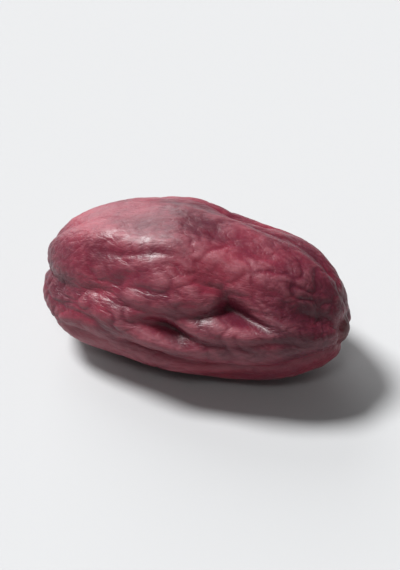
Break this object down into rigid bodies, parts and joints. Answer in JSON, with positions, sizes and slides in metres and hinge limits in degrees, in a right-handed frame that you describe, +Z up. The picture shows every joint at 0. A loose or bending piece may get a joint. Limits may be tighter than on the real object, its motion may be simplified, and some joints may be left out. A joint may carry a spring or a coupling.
{
  "type": "dried cornelian cherry",
  "caption": "Small oblong dried fruit with wine-red satin skin, shrunk into plump lengthwise folds between narrow creases, with a stalk scar at one end.",
  "frame": {"origin": "middle of the berry's outline on the surface that it lies on", "axes": "+X along the berry from the stalk end to the blossom end, +Z up from the surface, +Y to the side"},
  "size_m": [0.0176, 0.0104, 0.0091],
  "materials": {
    "cherry_skin": "satin"
  },
  "bodies": {
    "root": {"cherry": "cherry_skin"}
  },
  "joints": []
}
